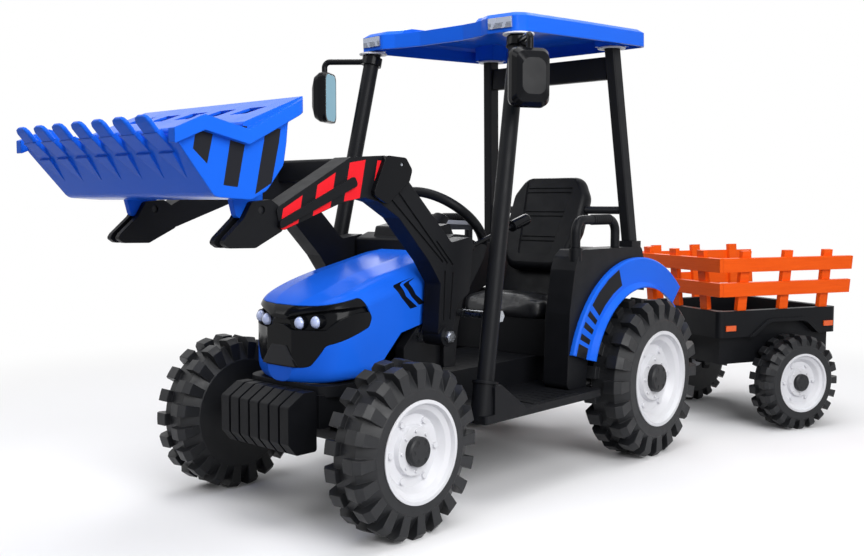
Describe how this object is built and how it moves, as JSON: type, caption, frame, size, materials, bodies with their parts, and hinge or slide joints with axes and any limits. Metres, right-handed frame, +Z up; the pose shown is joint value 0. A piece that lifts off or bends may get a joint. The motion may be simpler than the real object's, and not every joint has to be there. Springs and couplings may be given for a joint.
{
  "type": "ride-on toy tractor with loader and trailer",
  "caption": "Ride-on toy tractor with a lifting front loader and bucket, a post-mounted canopy, a padded seat and a hitched farm trailer with slatted sides.",
  "frame": {"origin": "middle of the whole toy's outline on the ground, at rest with the trailer swung", "axes": "-Y towards the loader bucket (forwards), +X to the driver's left, +Z up"},
  "size_m": [0.8628, 2.2948, 1.0582],
  "materials": {
    "black_plastic": "moulded, fine satin grain",
    "gloss_black": "polished moulding",
    "blue_plastic": "polished moulding",
    "orange_plastic": "moulded board grain",
    "white_plastic": "satin moulding",
    "tyre": "moulded tread",
    "padding": "soft grained cover",
    "steel": "zinc plated",
    "dark_steel": "powder coated",
    "lamp": "clear lens",
    "mirror": "silvered",
    "reflector": "faceted reflector"
  },
  "bodies": {
    "tractor": {"chassis": "black_plastic", "front_axle_beam": "dark_steel", "hood": "blue_plastic", "grille_mask": "gloss_black", "headlights": "lamp", "front_weight": "black_plastic", "console": "black_plastic", "seat_housing": "black_plastic", "seat_cushion": "padding", "seat_back": "black_plastic", "fenders": "blue_plastic", "grab_handles": "black_plastic", "front_posts": "black_plastic", "rear_posts": "black_plastic", "rear_crossbar": "black_plastic", "seat_stays": "dark_steel", "post_stays": "steel", "roof": "blue_plastic", "roof_lamps": "lamp", "loader_pivots": "steel", "loader_nuts": "steel", "tow_hitch": "dark_steel", "rear_axle": "steel", "gear_motors": "black_plastic", "battery": "black_plastic"},
    "steering": {"steering_wheel": "black_plastic", "steering_shaft": "steel"},
    "left_knuckle": {"knuckle_left": "dark_steel"},
    "right_knuckle": {"knuckle_right": "dark_steel"},
    "track_rod": {"tie_rod": "steel"},
    "boom": {"loader_arm_left": "black_plastic", "loader_arm_right": "black_plastic", "elbow_covers": "gloss_black", "boom_crossbeam": "black_plastic", "bucket_pins": "dark_steel"},
    "scoop": {"bucket": "blue_plastic"},
    "trailer": {"drawbar": "dark_steel", "trailer_tub": "black_plastic", "fence_front": "orange_plastic", "fence_sides": "orange_plastic", "reflectors": "reflector", "trailer_axle": "dark_steel"},
    "left_mirror": {"mirror_left": "black_plastic", "mirror_glass_left": "mirror"},
    "right_mirror": {"mirror_right": "black_plastic", "mirror_glass_right": "mirror"},
    "accelerator": {"pedal": "black_plastic"},
    "lever": {"loader_lever": "black_plastic"},
    "front_left_wheel": {"front_left_tyre": "tyre", "front_left_rim": "white_plastic"},
    "front_right_wheel": {"front_right_tyre": "tyre", "front_right_rim": "white_plastic"},
    "rear_left_wheel": {"rear_left_tyre": "tyre", "rear_left_rim": "white_plastic"},
    "rear_right_wheel": {"rear_right_tyre": "tyre", "rear_right_rim": "white_plastic"},
    "trailer_left_wheel": {"trailer_left_tyre": "tyre", "trailer_left_rim": "white_plastic"},
    "trailer_right_wheel": {"trailer_right_tyre": "tyre", "trailer_right_rim": "white_plastic"}
  },
  "joints": [
    {"name": "steering_turn", "type": "hinge", "parent": "tractor", "child": "steering", "pos_m": [-0.08613, -0.24852, 0.576], "axis": [0, 0.6691, 0.7431], "range_deg": [-35, 35]},
    {"name": "left_knuckle_turn", "type": "hinge", "parent": "tractor", "child": "left_knuckle", "pos_m": [0.11287, -0.64552, 0.166], "axis": [0, 0, 1], "range_deg": [-25.5, 25.5]},
    {"name": "right_knuckle_turn", "type": "hinge", "parent": "tractor", "child": "right_knuckle", "pos_m": [-0.28513, -0.64552, 0.166], "axis": [0, 0, 1], "range_deg": [-25.5, 25.5]},
    {"name": "track_rod_slide", "type": "slide", "parent": "tractor", "child": "track_rod", "axis": [1, 0, 0], "range_m": [-0.0215, 0.0215]},
    {"name": "front_left_wheel_spin", "type": "hinge", "parent": "left_knuckle", "child": "front_left_wheel", "pos_m": [0.22787, -0.64552, 0.166], "axis": [1, 0, 0], "continuous": true},
    {"name": "rear_left_wheel_spin", "type": "hinge", "parent": "tractor", "child": "rear_left_wheel", "pos_m": [0.23887, 0.21148, 0.195], "axis": [1, 0, 0], "continuous": true},
    {"name": "trailer_left_wheel_spin", "type": "hinge", "parent": "trailer", "child": "trailer_left_wheel", "pos_m": [0.3818, 0.74444, 0.131], "axis": [0.9107, -0.4131, 0], "continuous": true},
    {"name": "left_mirror_swing", "type": "hinge", "parent": "tractor", "child": "left_mirror", "pos_m": [0.13648, -0.24603, 0.96841], "axis": [-0.0501, 0.2042, 0.9777], "range_deg": [-20, 20]},
    {"name": "front_right_wheel_spin", "type": "hinge", "parent": "right_knuckle", "child": "front_right_wheel", "pos_m": [-0.40013, -0.64552, 0.166], "axis": [1, 0, 0], "continuous": true},
    {"name": "rear_right_wheel_spin", "type": "hinge", "parent": "tractor", "child": "rear_right_wheel", "pos_m": [-0.41113, 0.21148, 0.195], "axis": [1, 0, 0], "continuous": true},
    {"name": "trailer_right_wheel_spin", "type": "hinge", "parent": "trailer", "child": "trailer_right_wheel", "pos_m": [-0.10997, 0.96751, 0.131], "axis": [0.9107, -0.4131, 0], "continuous": true},
    {"name": "right_mirror_swing", "type": "hinge", "parent": "tractor", "child": "right_mirror", "pos_m": [-0.30874, -0.24603, 0.96841], "axis": [0.0501, 0.2042, 0.9777], "range_deg": [-20, 20]},
    {"name": "boom_lift", "type": "hinge", "parent": "tractor", "child": "boom", "pos_m": [-0.08613, -0.43852, 0.351], "axis": [1, 0, 0], "range_deg": [0, 42]},
    {"name": "bucket_tilt", "type": "hinge", "parent": "boom", "child": "scoop", "pos_m": [-0.08613, -0.90852, 0.613], "axis": [1, 0, 0], "range_deg": [0, 38]},
    {"name": "trailer_turn", "type": "hinge", "parent": "tractor", "child": "trailer", "pos_m": [-0.08613, 0.36648, 0.2], "axis": [0, 0, 1], "range_deg": [-17.6, 66.4]},
    {"name": "pedal_press", "type": "hinge", "parent": "tractor", "child": "accelerator", "pos_m": [-0.29113, -0.27352, 0.204], "axis": [1, 0, 0], "range_deg": [0, 12], "stiffness_Nm_per_rad": 2, "springref_deg": -8.59},
    {"name": "lever_swing", "type": "hinge", "parent": "tractor", "child": "lever", "pos_m": [0.05537, -0.30782, 0.52984], "axis": [1, 0, 0], "range_deg": [-10, 10]}
  ],
  "couplings": [
    {"joint": "left_knuckle_turn", "follows": "steering_turn", "ratio": 0.71429},
    {"joint": "right_knuckle_turn", "follows": "steering_turn", "ratio": 0.71429},
    {"joint": "track_rod_slide", "follows": "steering_turn", "m_per_rad": -0.034286}
  ]
}
